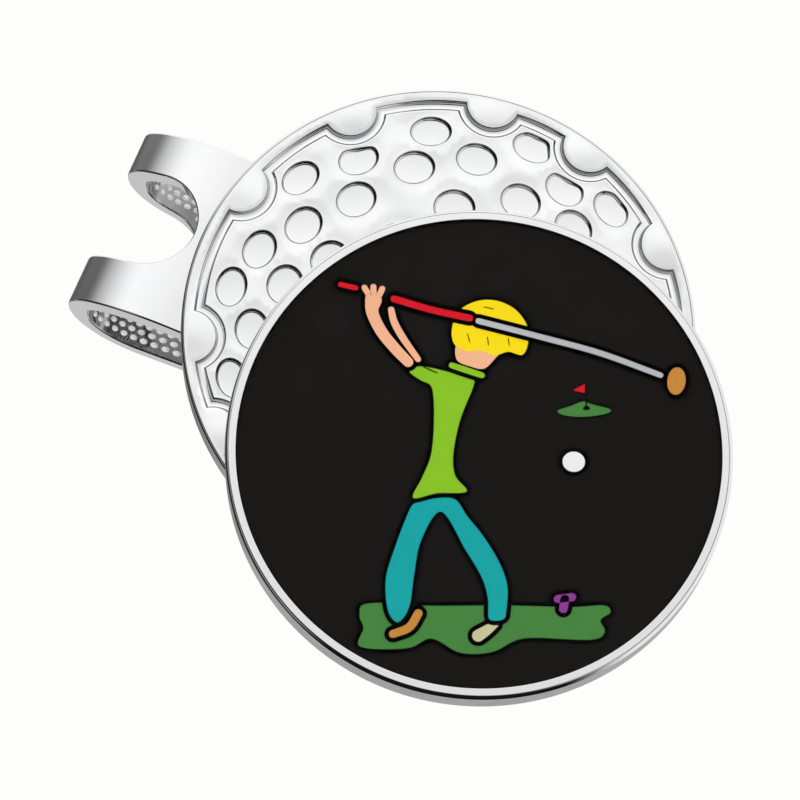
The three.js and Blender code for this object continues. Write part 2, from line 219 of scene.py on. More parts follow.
def inside(points, corners, edges):
    """Which points lie inside closed edges, by counting the edges to the right of each."""
    a = corners[[edge[0] for edge in edges]]
    b = corners[[edge[1] for edge in edges]]
    result = np.zeros(len(points), bool)
    for start in range(0, len(points), BATCH):
        x = points[start:start + BATCH, 0][:, None]
        y = points[start:start + BATCH, 1][:, None]
        spans = (a[:, 1] > y) != (b[:, 1] > y)
        rise = np.where(b[:, 1] == a[:, 1], 1.0, b[:, 1] - a[:, 1])
        crossing = a[:, 0] + (y - a[:, 1]) * (b[:, 0] - a[:, 0]) / rise
        result[start:start + BATCH] = (spans & (x < crossing)).sum(1) % 2 == 1
    return result


ARC_STEPS = 6


def rounded_profile(corners, steps=ARC_STEPS):
    """Points (radius, z) with outward normals along a path.

    Each (radius, z, rounding) corner becomes an arc.
    """
    path = []
    for i, (r, z, rounding) in enumerate(corners):
        here = np.array([r, z], float)
        if rounding == 0:
            before = np.array(corners[i - 1][:2] if i else corners[i][:2], float)
            after = np.array(corners[i + 1][:2] if i + 1 < len(corners) else corners[i][:2], float)
            way = unit(after - before)
            path.append((r, z, way[1], -way[0]))
            continue
        way_in = unit(here - np.array(corners[i - 1][:2], float))
        way_out = unit(np.array(corners[i + 1][:2], float) - here)
        bend = math.acos(np.clip(way_in @ way_out, -1, 1))
        reach = rounding * math.tan(bend / 2)
        side = np.sign(way_in[0] * way_out[1] - way_in[1] * way_out[0])
        centre = here - way_in * reach + side * rounding * np.array([-way_in[1], way_in[0]])
        for k in range(steps + 1):
            angle = side * bend * k / steps
            cos, sin = math.cos(angle), math.sin(angle)
            way = np.array([cos * way_in[0] - sin * way_in[1], sin * way_in[0] + cos * way_in[1]])
            spot = centre + side * rounding * np.array([way[1], -way[0]])
            path.append((spot[0], spot[1], way[1], -way[0]))
    return path


def side_shades(steps, wall, line):
    """Painted shades by row, for a profile that starts with one point and two rounded edges.

    wall is for the side between the edges, and line for where the second edge ends.
    """
    last = 1 + steps
    return {last: wall, last + 1: wall, last + steps: line}


def revolve(shell, profile, segments, centre=(0.0, 0.0), shades=None):
    """Turns a profile about an upright axis, and returns its loops. A point on the axis becomes a fan."""
    around = circle(segments)
    loops = []
    waiting = None
    for row, (r, z, nr, nz) in enumerate(profile):
        if r < 1e-6:
            if loops:
                shell.fan(loops[-1], (*centre, z), (0, 0, nz))
            else:
                waiting = (z, nz)
            continue
        shade = (shades or {}).get(row, 0.0)
        loops.append(shell.loop(raised(centre + around * r, z), raised(around * nr, nz), shade))
        if waiting:
            shell.fan(loops[-1], (*centre, waiting[0]), (0, 0, waiting[1]))
            waiting = None
        if len(loops) > 1:
            shell.bridge(loops[-2], loops[-1])
    return loops


# ------------------------------------------------------------------------------------------- materials


def node(tree, kind, settings=None, **inputs):
    """A shader node. An input's name has _ for each space, and takes a value or another node's output."""
    made = tree.nodes.new(kind)
    for key, value in (settings or {}).items():
        setattr(made, key, value)
    wire(tree, made, **inputs)
    return made


def wire(tree, made, **inputs):
    """Sets inputs of a node that is there already, by the same names as node() takes."""
    for key, value in inputs.items():
        join(tree, made.inputs[key.replace("_", " ")], value)


def join(tree, socket, value):
    if isinstance(value, bpy.types.NodeSocket):
        tree.links.new(value, socket)
    else:
        socket.default_value = value


def calculate(tree, operation, *values):
    made = tree.nodes.new("ShaderNodeMath")
    made.operation = operation
    for socket, value in zip(made.inputs, values):
        join(tree, socket, value)
    return made.outputs[0]


def smooth(tree, value, low, high, at_low=0.0, at_high=1.0):
    made = node(tree, "ShaderNodeMapRange", {"interpolation_type": "SMOOTHSTEP"}, Value=value)
    for name, number in (("From Min", low), ("From Max", high), ("To Min", at_low), ("To Max", at_high)):
        made.inputs[name].default_value = number
    return made.outputs[0]


def mix(tree, share, a, b):
    """Colour a where share is 0 and b where it is 1."""
    made = node(tree, "ShaderNodeMix", {"data_type": "RGBA"})
    join(tree, made.inputs[0], share)
    join(tree, made.inputs[6], a)
    join(tree, made.inputs[7], b)
    return made.outputs[2]


def mix_number(tree, share, a, b):
    made = node(tree, "ShaderNodeMix", {"data_type": "FLOAT"})
    join(tree, made.inputs[0], share)
    join(tree, made.inputs[2], a)
    join(tree, made.inputs[3], b)
    return made.outputs[0]


def linear(red, green, blue):
    """A colour of 0 to 255 steps as the linear values that shaders take."""
    return (*[c / 12.92 if c <= 0.04045 else ((c + 0.055) / 1.055) ** 2.4
              for c in (red / 255, green / 255, blue / 255)], 1.0)


def grey(value):
    return (value, value, value, 1.0)


def material(name):
    made = bpy.data.materials.new(name)
    made.use_nodes = True
    tree = made.node_tree
    return made, tree, tree.nodes["Principled BSDF"]


def place_in_mm(tree):
    """Object coordinates in millimetres."""
    coordinates = node(tree, "ShaderNodeTexCoord").outputs["Object"]
    scaled = node(tree, "ShaderNodeVectorMath", {"operation": "SCALE"}, Scale=1 / MM)
    tree.links.new(coordinates, scaled.inputs[0])
    return scaled.outputs[0]


def noise(tree, where, scale, detail=2.0, stretch=None):
    if stretch:
        mapping = node(tree, "ShaderNodeMapping", Vector=where, Rotation=stretch[0], Scale=stretch[1])
        where = mapping.outputs[0]
    return node(tree, "ShaderNodeTexNoise", Vector=where, Scale=scale, Detail=detail).outputs["Fac"]


def bumps(tree, surface, height, strength, distance):
    """A fine relief on a surface, with its distance in millimetres."""
    bump = node(tree, "ShaderNodeBump", Strength=strength, Distance=distance * MM, Height=height)
    join(tree, surface.inputs["Normal"], bump.outputs[0])


PATCHES = 0.86  # the least share of its darkness that a line of painted shade keeps where noise thins it
SHADED = 0.012  # the grey that metal goes towards under full painted shade
SCRATCHES = ((0.3, 0.2, 0.5), (1.0, 1.0, 14.0))  # turn and stretch of the hairline scratches


def chrome(name, tone, shine):
    """Polished nickel plate: faint haze, hairline scratches, and painted shade, dark where the shade
    attribute says so.
    """
    made, tree, surface = material(name)
    where = place_in_mm(tree)
    haze = noise(tree, where, 0.35, 3.0)
    hazy = (tone * 0.97, tone * 0.975, tone * 0.985, 1.0)
    tint = mix(tree, smooth(tree, haze, 0.35, 0.7), grey(tone), hazy)
    shade = node(tree, "ShaderNodeAttribute", {"attribute_name": "shade"}).outputs["Fac"]
    patches = smooth(tree, noise(tree, where, 0.9, 3.0), 0.3, 0.7, PATCHES, 1.0)
    # painted shade: the colour goes dark where the shade attribute is high, in place of dark reflections at
    # edges, walls and recesses
    dark = calculate(tree, "MULTIPLY", smooth(tree, shade, 0.05, 0.85), patches)
    fine = noise(tree, where, 2.2, 6.0, SCRATCHES)
    wear = smooth(tree, fine, 0.55, 0.8, shine, shine + 0.05)
    rough = calculate(tree, "ADD", wear, smooth(tree, haze, 0.4, 0.8, 0.0, 0.02))
    wire(tree, surface, Base_Color=mix(tree, dark, tint, grey(SHADED)), Metallic=1.0, Roughness=rough)
    bumps(tree, surface, fine, 0.04, 0.02)
    return made


def painted_highlight_dots(name):
    """The raised dots of the grip: a near-white satin that is not metal, a painted highlight in place of the
    steel's bright reflections, with small dull pits.
    """
    made, tree, surface = material(name)
    where = place_in_mm(tree)
    pits = smooth(tree, noise(tree, where, 3.5, 3.0), 0.55, 0.75)
    rough = mix_number(tree, pits, 0.22, 0.4)
    wire(tree, surface, Base_Color=mix(tree, pits, grey(0.97), grey(0.72)), Roughness=rough)
    return made


def satin_metal(name, tone, rough):
    """Barrel-plated metal: a grainy satin skin with paler rubbed spots."""
    made, tree, surface = material(name)
    where = place_in_mm(tree)
    blotches = noise(tree, where, 0.9, 4.0)
    rubbed = mix(tree, smooth(tree, blotches, 0.5, 0.72), grey(tone), grey(tone * 1.15))
    worn = smooth(tree, blotches, 0.3, 0.75, rough, rough * 0.65)
    wire(tree, surface, Base_Color=rubbed, Metallic=1.0, Roughness=worn)
    bumps(tree, surface, noise(tree, where, 9.0, 5.0), 0.12, 0.02)
    return made


def cured_glue(name):
    made, tree, surface = material(name)
    where = place_in_mm(tree)
    cloud = smooth(tree, noise(tree, where, 0.8, 4.0), 0.3, 0.75)
    colour = mix(tree, cloud, (0.6, 0.54, 0.38, 1), (0.74, 0.7, 0.56, 1))
    wire(tree, surface, Base_Color=colour, Roughness=mix_number(tree, cloud, 0.32, 0.5))
    wire(tree, surface, Subsurface_Weight=0.25, Subsurface_Scale=0.5 * MM)
    bubbles = node(tree, "ShaderNodeTexVoronoi", Vector=where, Scale=2.4).outputs["Distance"]
    bumps(tree, surface, bubbles, 0.2, 0.03)
    return made


def ink(name, colour, mottle=0.05):
    """Printed ink: a fine halftone grain and slow changes of density."""
    made, tree, surface = material(name)
    where = place_in_mm(tree)
    deep = tuple(channel * (1 - 2 * mottle) for channel in colour[:3]) + (1.0,)
    grain = noise(tree, where, 14.0, 2.0)
    density = smooth(tree, noise(tree, where, 0.7, 3.0), 0.3, 0.75, 0.35, 1.0)
    share = calculate(tree, "MULTIPLY", smooth(tree, grain, 0.3, 0.8), density)
    rough = smooth(tree, grain, 0.3, 0.7, 0.55, 0.7)
    wire(tree, surface, Base_Color=mix(tree, share, colour, deep), Roughness=rough, Specular_IOR_Level=0.0)
    bumps(tree, surface, grain, 0.05, 0.01)
    return made


def clear_resin(name):
    """A thin clear coat. Most light passes straight through, and the rest is a sharp reflection."""
    made, tree, surface = material(name)
    where = place_in_mm(tree)
    ripples = noise(tree, where, 0.22, 2.0)
    bump = node(tree, "ShaderNodeBump", Strength=0.25, Distance=0.00004, Height=ripples)
    dust = smooth(tree, noise(tree, where, 5.0, 3.0), 0.62, 0.8, 0.015, 0.06)
    gloss = node(tree, "ShaderNodeBsdfGlossy", Color=grey(1.0), Roughness=dust, Normal=bump.outputs[0])
    clear = node(tree, "ShaderNodeBsdfTransparent", Color=grey(1.0))
    edge = node(tree, "ShaderNodeFresnel", IOR=1.09, Normal=bump.outputs[0])
    mixed = node(tree, "ShaderNodeMixShader")
    join(tree, mixed.inputs[0], edge.outputs[0])
    join(tree, mixed.inputs[1], clear.outputs[0])
    join(tree, mixed.inputs[2], gloss.outputs[0])
    output = next(n for n in tree.nodes if n.type == "OUTPUT_MATERIAL")
    tree.nodes.remove(surface)
    tree.links.new(mixed.outputs[0], output.inputs["Surface"])
    return made


# --------------------------------------------------------------------------------------- the cast plate

FIELD_RADIUS = 12.4
FIELD_DROP = 0.06
SCALLOP_REACH = 12.7
SCALLOP_RADIUS = 1.45
SCALLOP_ANGLES = [22, 52, 77, 111, 143, 182, 206, 232, 262, 291, 323, 352]
SCALLOP_STEPS = 30
RIM_STEP = 0.22
PLATE_EDGE = 0.2
PLATE_BACK_EDGE = 0.15
# Painted shade on the plate's side wall, darkest on the left and fading each way, and a painted dark line
# where the rim's rounded edge begins, in place of dark reflections
WALL_SHADE = 0.85
WALL_DARKEST = 185  # degrees, on the left
WALL_FADE = 35  # degrees over which the wall's shade fades out, each way
RIM_LINE_SHADE = 0.75
PLATE_SEGMENTS = 288
POCKET_RADIUS = 3.6
POCKET_DEPTH = 1.2
POCKET_LIP = 0.12
POCKET_EASE = 0.04
POCKET_SEGMENTS = 96

# Section across the groove, from the rim to the field: (distance inwards, height, painted shade). The
# painted shade draws dark lines at the groove's lip and foot, in place of dark reflections.
GROOVE_SECTION = [
    (-0.1, 0.0, 0.0),
    (-0.08, -0.004, 0.2),
    (-0.06, -0.018, 0.8),
    (-0.04, -0.05, 0.4),
    (-0.015, -0.12, 0.08),
    (0.01, -0.21, 0.1),
    (0.03, -0.245, 0.35),
    (0.065, -0.26, 0.05),
    (0.3, -0.26, 0.0),
    (0.335, -0.245, 0.3),
    (0.36, -0.2, 0.5),
    (0.385, -0.13, 0.55),
    (0.405, -0.095, 0.95),
    (0.425, -0.076, 0.6),
    (0.455, -0.066, 0.0),
]
FIELD_EDGE = 0.5  # the field's own surface begins this far inside its outline

# Rows of dimples: (distance from the plate's centre, angles)
DIMPLE_ROWS = [
    (11.1, [37, 64]),
    (10.8, [92, 131, 168, 194, 217, 244, 272, 311]),
    (10.1, [50, 114, 155, 230, 294, 335]),
    (9.5, [78, 180, 258, 358]),
    (8.9, [39, 98, 141, 219, 278, 321]),
    (8.2, [59, 121, 163, 201, 239, 301, 343, 21]),
    (6.7, [83, 146, 184, 263, 326, 4]),
    (5.2, [114, 166, 212, 294, 346, 32]),
]
DIMPLE_RADIUS = 1.07
BALL_RADIUS = 16
DIMPLE_STEPS = 56
DIMPLE_ROOM = 0.62  # what stays between a dimple and the edge of the field

# Section into a dimple: (distance inwards, depth below the field, painted shade). The painted shade draws a
# dark outline at each dimple's lip and foot, in place of dark reflections.
DIMPLE_SECTION = [
    (0.0, 0.018, 0.45),
    (0.018, 0.045, 1.0),
    (0.036, 0.085, 0.7),
    (0.055, 0.13, 0.12),
    (0.075, 0.165, 0.1),
    (0.095, 0.19, 0.45),
    (0.125, 0.2, 0.05),
    (0.18, 0.205, 0.0),
]
DIMPLE_LIP = 0.05
DIMPLE_FLOOR_TILT = 0.035
DIMPLE_NEAR = 3  # beyond this from its centre, a dimple doesn't change the field
DIMPLE_FAR = 9.0  # stands for no dimple near by
DIMPLE_FALL = (0.03, 0.45)  # depth and width of the field's soft fall to a dimple
EDGE_FALL = (0.02, 0.4)  # the same, to the field's edge
CALM_WIDTH = 0.5  # the waves fade out over this width before the field's edge

# Grids of points between the outlines, and how far they stay from the rim, edges, dimples and pocket
FIELD_GRID = 0.24
RIM_GRID = 0.2
RIM_GROOVE_ROOM = 0.24
RIM_EDGE_ROOM = 0.1
FIELD_EDGE_ROOM = 0.13
DIMPLE_GRID_ROOM = 0.1
DIMPLE_GRID_NEAR = 2
POCKET_ROOM = 0.25

WAVE_HEIGHT = 0.01
WAVE_TILT = 0.03  # the height that the waves' reflections are drawn with
SLOPE_STEP = 0.04  # slopes are measured over this distance each way
LOBE_TILT = 0.16
LOBE_REACH = 1.2
LOBE_SHIFT = 0.4


def field_outline(inset):
    """Edge of the dimpled field, moved inwards: a circle with round bites, always with the same points."""
    rim = FIELD_RADIUS - inset
    bite = SCALLOP_RADIUS + inset

    def half_angle(circle, radius):
        reach = SCALLOP_REACH
        return math.degrees(math.acos((circle**2 + reach**2 - radius**2) / (2 * circle * reach)))

    half = half_angle(rim, bite)
    nominal = half_angle(FIELD_RADIUS, SCALLOP_RADIUS)
    points = []
    for i, angle in enumerate(SCALLOP_ANGLES):
        centre = polar(SCALLOP_REACH, angle)
        corner = polar(rim, angle - half) - centre
        spread = (math.degrees(math.atan2(corner[1], corner[0])) - angle - 180) % 360
        points.append(centre + polar(bite, angle + 180 + np.linspace(spread, -spread, SCALLOP_STEPS + 1)))
        following = angle + (SCALLOP_ANGLES[(i + 1) % len(SCALLOP_ANGLES)] - angle) % 360
        length = math.radians(following - angle - 2 * nominal) * FIELD_RADIUS
        steps = max(4, round(length / RIM_STEP))
        points.append(polar(rim, np.linspace(angle + half, following - half, steps + 1))[1:-1])
    return np.vstack(points)


def room_at(points):
    """How far each point lies inside the edge of the field."""
    room = FIELD_RADIUS - np.linalg.norm(points, axis=1)
    for angle in SCALLOP_ANGLES:
        gap = np.linalg.norm(points - polar(SCALLOP_REACH, angle), axis=1) - SCALLOP_RADIUS
        room = np.minimum(room, gap)
    return room


def dimple_outlines():
    """Centre and outline of each dimple: a disc seen on a ball, cut off straight where it lacks room."""
    found = []
    for radius, angles in DIMPLE_ROWS:
        narrow = DIMPLE_RADIUS * math.sqrt(1 - (radius / BALL_RADIUS) ** 2)
        for angle in angles:
            centre = polar(radius, angle)
            steps = rotated(circle(DIMPLE_STEPS) * (narrow, DIMPLE_RADIUS), angle)
            scale = np.ones(DIMPLE_STEPS)
            limits = [(unit(centre), FIELD_RADIUS - radius)]
            for scallop in polar(SCALLOP_REACH, np.array(SCALLOP_ANGLES)):
                gap = np.linalg.norm(scallop - centre)
                limits.append((unit(scallop - centre), gap - SCALLOP_RADIUS))
            for way, reach in limits:
                going = steps @ way
                cut = going > reach - DIMPLE_ROOM
                scale[cut] = np.minimum(scale[cut], (reach - DIMPLE_ROOM) / going[cut])
            outline = centre + steps * scale[:, None]
            for _ in range(2):
                outline = (np.roll(outline, 1, 0) + 2 * outline + np.roll(outline, -1, 0)) / 4
            found.append((centre, outline))
    return found


DIMPLES = dimple_outlines()


def dimple_distance(points):
    """Distance from each point to the nearest dimple's outline, for points on the field."""
    nearest = np.full(len(points), DIMPLE_FAR)
    for centre, outline in DIMPLES:
        near = np.linalg.norm(points - centre, axis=1) < DIMPLE_NEAR
        if near.any():
            gaps = np.linalg.norm(points[near][:, None, :] - outline[None], axis=2).min(1)
            nearest[near] = np.minimum(nearest[near], gaps)
    return nearest


def waves(points):
    """Slow waves of the cast surface, as heights that never pass 1."""
    x, y = points[:, 0], points[:, 1]
    return 0.45 * np.sin(1.25 * x + 0.6) * np.cos(1.1 * y - 0.4) + 0.35 * np.sin(0.8 * x - 1.7 * y) \
        + 0.2 * np.cos(2.1 * x + 1.2 * y)


def field_height(points, swell=WAVE_HEIGHT):
    """The field's surface: slow waves, and a soft fall to each dimple and to the edge."""
    room = room_at(points) - FIELD_EDGE
    fall = DIMPLE_FALL[0] * np.exp(-((dimple_distance(points) / DIMPLE_FALL[1]) ** 2))
    edge = EDGE_FALL[0] * np.exp(-((room / EDGE_FALL[1]) ** 2))
    calm = np.clip(room / CALM_WIDTH, 0, 1)
    return -FIELD_DROP + swell * waves(points) * calm - fall - edge


def field_normals(points):
    """Normals of the field, with its waves drawn stronger than they are high."""
    step = SLOPE_STEP
    east = field_height(points + [step, 0], WAVE_TILT) - field_height(points - [step, 0], WAVE_TILT)
    north = field_height(points + [0, step], WAVE_TILT) - field_height(points - [0, step], WAVE_TILT)
    return unit(raised(np.column_stack([-east, -north]), 2 * step))


def rim_normals(points):
    """The rim is flat but for slow waves, and each lobe between the scallops' edges is a shallow pillow."""
    step = SLOPE_STEP
    east = WAVE_TILT * (waves(points + [step, 0]) - waves(points - [step, 0]))
    north = WAVE_TILT * (waves(points + [0, step]) - waves(points - [0, step]))
    tilt = np.column_stack([-east, -north]) / (2 * step)
    for angle in SCALLOP_ANGLES:
        offset = (points - polar(SCALLOP_REACH - LOBE_SHIFT, angle)) / SCALLOP_RADIUS
        share = np.clip(LOBE_REACH - np.linalg.norm(offset, axis=1), 0, 1)
        tilt = tilt + offset * LOBE_TILT * share[:, None]
    return unit(raised(tilt, 1.0))


def section_normals(section):
    """Normals of a section of (distance, height) points, as (share along the distance, share up)."""
    ways = ways_along(np.array([[d, h] for d, h, *_ in section], float))
    return np.column_stack([-ways[:, 1], ways[:, 0]])


def field_loop(shell, points):
    return shell.loop(raised(points, field_height(points)), field_normals(points))


def build_plate(metal):
    shell = Shell()
    back = -PLATE_THICKNESS
    side = rounded_profile([
        (0, back, 0),
        (PLATE_RADIUS, back, PLATE_BACK_EDGE),
        (PLATE_RADIUS, 0, PLATE_EDGE),
        (PLATE_RADIUS - 2 * PLATE_EDGE, 0, 0),
    ])[:-1]
    angles = 360 * np.arange(PLATE_SEGMENTS) / PLATE_SEGMENTS
    # painted shade on the side wall, darker towards the left
    wall = WALL_SHADE * np.clip(1.6 - np.abs(angles - WALL_DARKEST) / WALL_FADE, 0, 1)
    outer = revolve(shell, side, PLATE_SEGMENTS, shades=side_shades(ARC_STEPS, wall, RIM_LINE_SHADE))[-1]
    rows = np.arange(-PLATE_RADIUS, PLATE_RADIUS, RIM_GRID)
    rim_grid = np.array([(x, y) for x in rows for y in rows])
    rim_grid = rim_grid[room_at(rim_grid) < -RIM_GROOVE_ROOM]
    rim_grid = rim_grid[np.linalg.norm(rim_grid, axis=1) < PLATE_RADIUS - PLATE_EDGE - RIM_EDGE_ROOM]

    previous = None
    groove_normals = section_normals(GROOVE_SECTION)
    for (inset, height, shade), (along, up) in zip(GROOVE_SECTION, groove_normals):
        outline = field_outline(inset)
        inwards = unit(field_outline(inset + 0.01) - field_outline(inset - 0.01))
        loop = shell.loop(raised(outline, height), raised(inwards * along, up), shade)
        if previous is None:
            flat = shell.loop(raised(rim_grid, 0.0), rim_normals(rim_grid))
            shell.fill([outer, loop], flat)
        else:
            shell.bridge(previous, loop)
        previous = loop
    edge = field_loop(shell, field_outline(FIELD_EDGE))
    shell.bridge(previous, edge)

    holes = [build_dimple(shell, centre, outline) for centre, outline in DIMPLES]
    holes.append(build_pocket(shell))

    rows = np.arange(-FIELD_RADIUS, FIELD_RADIUS, FIELD_GRID * math.sqrt(3) / 2)
    columns = np.arange(-FIELD_RADIUS, FIELD_RADIUS, FIELD_GRID)
    grid = np.array([(x + (FIELD_GRID / 2 if i % 2 else 0), y) for i, y in enumerate(rows) for x in columns])
    grid = grid[room_at(grid) > FIELD_EDGE + FIELD_EDGE_ROOM]
    grid = grid[np.linalg.norm(grid, axis=1) > POCKET_RADIUS + POCKET_ROOM]
    for centre, outline in DIMPLES:
        lip = outline + unit(outline - centre) * (DIMPLE_LIP + DIMPLE_GRID_ROOM)
        near = np.linalg.norm(grid - centre, axis=1) < DIMPLE_GRID_NEAR
        outside = ~inside(grid[near], lip, closed_edges(len(lip)))
        grid = np.vstack([grid[~near], grid[near][outside]])
    shell.fill([edge] + holes, field_loop(shell, grid))
    return shell.build("clip_plate", metal)


def build_dimple(shell, centre, outline):
    """The wall and floor of one dimple. Returns the loop at its lip."""
    inwards = -unit(outline - centre)
    first = field_loop(shell, outline - inwards * DIMPLE_LIP)
    previous = first
    rim = field_height(outline)
    level = rim.mean()
    deepest = DIMPLE_SECTION[-1][1]
    normals = section_normals([(d, -h) for d, h, _ in DIMPLE_SECTION])
    for (inset, depth, shade), (along, up) in zip(DIMPLE_SECTION, normals):
        share = depth / deepest
        heights = rim * (1 - share) + level * share - depth
        shown = raised(inwards * along, up) if depth < deepest else raised(inwards * DIMPLE_FLOOR_TILT, 1.0)
        loop = shell.loop(raised(outline + inwards * inset, heights), shown, shade)
        shell.bridge(previous, loop)
        previous = loop
    shell.fan(previous, (*centre, level - deepest), (0, 0, 1))
    return first


def build_pocket(shell):
    """The round pocket for the magnet. Returns the loop at its lip."""
    around = circle(POCKET_SEGMENTS)
    first = field_loop(shell, around * (POCKET_RADIUS + POCKET_LIP))
    previous = first
    section = [
        (0.0, 0.03),
        (POCKET_EASE, 0.1),
        (POCKET_EASE, POCKET_DEPTH - 0.12),
        (0.1, POCKET_DEPTH - FIELD_DROP),
    ]
    for (inset, depth), (along, up) in zip(section, section_normals([(d, -h) for d, h in section])):
        points = raised(around * (POCKET_RADIUS + POCKET_EASE - inset), -FIELD_DROP - depth)
        loop = shell.loop(points, raised(-around * along, up))
        shell.bridge(previous, loop)
        previous = loop
    shell.fan(previous, (0, 0, -POCKET_DEPTH), (0, 0, 1))
    return first


# -------------------------------------------------------------------------------------- the spring clip

STRIP_WIDTH = 10.05
LEG_THICKNESS = 1.2
TONGUE_THICKNESS = 0.9
LEG_INNER_END = -3
LEG_BEND_START = 13
TONGUE_BEND_END = 14.7
TONGUE_GRIP_END = -4
TONGUE_TIP = -7.5
TONGUE_BEND_DEPTH = 8.2
TONGUE_SLOPE = math.tan(math.radians(6.9))
TIP_FLARE = math.tan(math.radians(14))
TIP_TURN = 2
LOOP_SPLIT = 0.3
LEG_BEND_REACH = 2.6
LOOP_FRONT_REACH = 1.8
LOOP_REAR_REACH = 2
TONGUE_BEND_REACH = 1.9
SLOT_RADIUS = 2.5
SLOT_CENTRE = 16.2
SLOT_OFFSET = -0.17
CORNER_RADIUS = 1.6
STRIP_EDGE = 0.1
EDGE_STEPS = 5
EDGE_SHADED = 50  # degrees round the edge that take half the inner side's painted shade
GRID_ROOM = 0.12  # what stays between the grid's points and the rounded edges
GRID_ROWS = 21
BEND_STEP = 0.16
STRAIGHT_STEP = 0.7
INNER_SHADES = (0.1, 0.5)  # painted shade on the leg and on the tongue
INNER_SHADE_REACH = (1.5, 1.0)  # the shade changes from here before the apex to here behind it

# Steps of the middle line
LINE_STEPS = 20
BEND_STEPS = 90
APEX_STEPS = 4
TIP_STEPS = 40

# Raised grip pattern on the inner side of the tongue
GRIP_PITCH = (0.64, 0.41)
GRIP_SIZE = (0.225, 0.15)
GRIP_HEIGHT = 0.08
GRIP_MARGIN = 0.45
GRIP_START = 1.2  # behind the loop's apex
GRIP_STOP = -3.5  # along the clip
GRIP_SIDES = 12

# Rings of one dot, from its foot up: (share of its size, height)
GRIP_RINGS = [(1.0, -0.03), (1.0, 0.01), (0.86, 0.045), (0.6, 0.068), (0.3, 0.079)]


def bezier(points, steps):
    """A Bezier curve through as many control points as are given, without its first point."""
    t = np.arange(1, steps + 1)[:, None] / steps
    points = [np.array(p, float) for p in points]
    order = len(points) - 1
    return sum(math.comb(order, k) * (1 - t) ** (order - k) * t**k * p for k, p in enumerate(points))


class Strip:
    """The strip's middle line, as (distance along the clip, depth) against length."""

    def __init__(self):
        leg = LEG_BACK - LEG_THICKNESS / 2
        top = (LOOP_APEX, LOOP_DEPTH - LOOP_SPLIT / 2)
        bottom = (LOOP_APEX, LOOP_DEPTH + LOOP_SPLIT / 2)
        grip_depth = TONGUE_BEND_DEPTH - TONGUE_SLOPE * (TONGUE_BEND_END - TONGUE_GRIP_END)
        bend = (LEG_BEND_START, leg)
        back = (TONGUE_BEND_END, TONGUE_BEND_DEPTH)
        grip = (TONGUE_GRIP_END, grip_depth)
        tip = (TONGUE_TIP, grip_depth + TIP_FLARE * (TONGUE_GRIP_END - TONGUE_TIP))
        leaving = (LEG_BEND_START + LEG_BEND_REACH, leg)
        before = (LOOP_APEX, LOOP_DEPTH - LOOP_FRONT_REACH)
        after = (LOOP_APEX, LOOP_DEPTH + LOOP_REAR_REACH)
        coming = (TONGUE_BEND_END + TONGUE_BEND_REACH, TONGUE_BEND_DEPTH + TONGUE_BEND_REACH * TONGUE_SLOPE)
        turned = (TONGUE_GRIP_END - TIP_TURN, grip_depth - TIP_TURN * TONGUE_SLOPE)
        line = np.vstack([
            [(LEG_INNER_END, leg)],
            bezier([(LEG_INNER_END, leg), bend], LINE_STEPS),
            bezier([bend, leaving, before, top], BEND_STEPS),
            bezier([top, bottom], APEX_STEPS),
            bezier([bottom, after, coming, back], BEND_STEPS),
            bezier([back, grip], LINE_STEPS),
            bezier([grip, turned, tip], TIP_STEPS),
        ])
        self.line = line
        steps = np.linalg.norm(np.diff(line, axis=0), axis=1)
        self.length = np.concatenate([[0], np.cumsum(steps)])
        self.ways = ways_along(line)
        self.top = LINE_STEPS + BEND_STEPS
        self.apex = self.top + APEX_STEPS // 2
        self.bottom = self.top + APEX_STEPS
        self.bend = self.bottom + BEND_STEPS
        self.end = self.length[-1]

    def at(self, u):
        """Places and directions of the middle line at the lengths u."""
        spot = np.column_stack([np.interp(u, self.length, self.line[:, k]) for k in (0, 1)])
        way = unit(np.column_stack([np.interp(u, self.length, self.ways[:, k]) for k in (0, 1)]))
        return spot, way

    def thickness(self, u):
        spot = self.at(u)[0]
        leg = LEG_BACK - LEG_THICKNESS / 2
        share = np.clip((spot[:, 1] - leg) / (TONGUE_BEND_DEPTH - leg), 0, 1)
        share[u > self.length[self.bend]] = 1
        return LEG_THICKNESS + (TONGUE_THICKNESS - LEG_THICKNESS) * share

    def length_on_leg(self, s):
        return np.interp(s, self.line[:self.top, 0], self.length[:self.top])

    def length_on_tongue(self, s):
        return np.interp(-np.asarray(s, float), -self.line[self.bottom:, 0], self.length[self.bottom:])

    def columns(self):
        """Lengths of the cross rows. They are close together in the bends."""
        found = [0.0]
        while found[-1] < self.end - 1e-6:
            here = np.array([found[-1], min(found[-1] + STRAIGHT_STEP, self.end)])
            ways = self.at(here)[1]
            bent = np.linalg.norm(ways[1] - ways[0]) > 0.01
            found.append(min(found[-1] + (BEND_STEP if bent else STRAIGHT_STEP), self.end))
        return np.array(found)

    def put(self, u, v, h, normal_u, normal_v, normal_h):
        """Lying points and normals for lengths u, places across v and heights h towards the inner side."""
        spot, way = self.at(u)
        left = np.column_stack([-way[:, 1], way[:, 0]])
        flat = spot + left * h[:, None]
        points = clip_to_lying(flat[:, 0], v + CLIP_OFFSET, -flat[:, 1])
        direction = way * normal_u[:, None] + left * normal_h[:, None]
        normals = clip_to_lying(direction[:, 0], normal_v, -direction[:, 1])
        return points, normals


def clip_to_lying(along, across, up):
    """Places or directions of the clip in the axes of the lying part."""
    return np.column_stack([along * CLIP_COS - across * CLIP_SIN, along * CLIP_SIN + across * CLIP_COS, up])


